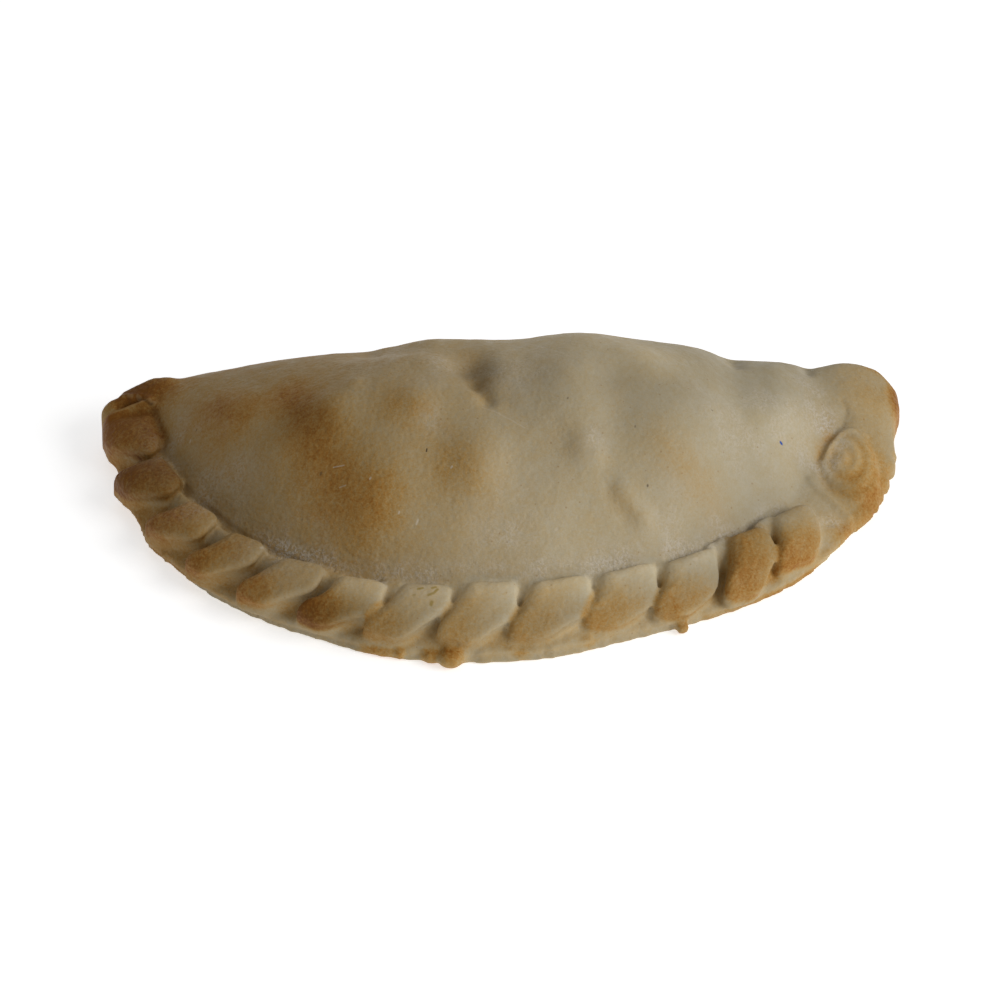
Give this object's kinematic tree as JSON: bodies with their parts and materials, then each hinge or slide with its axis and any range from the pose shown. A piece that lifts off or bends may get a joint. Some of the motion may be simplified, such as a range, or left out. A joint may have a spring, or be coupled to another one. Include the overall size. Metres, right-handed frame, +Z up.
{
  "type": "spinach empanada",
  "caption": "Baked half-moon pasty with a lumpy filled middle, a smooth folded back and a rope-twisted sealed edge.",
  "frame": {"origin": "middle of the flat underside's box, on the surface that the pasty lies on", "axes": "+X along the pasty from the left tip to the right tip, +Y towards the smooth folded back, +Z up; the rope-twisted edge faces -Y"},
  "size_m": [0.1332, 0.0696, 0.0294],
  "materials": {
    "crust": "pale baked wheat dough, matte with a faint gloss, browned in spots and at the ends of the folds, floury along the seam"
  },
  "bodies": {
    "root": {"empanada": "crust"}
  },
  "joints": []
}
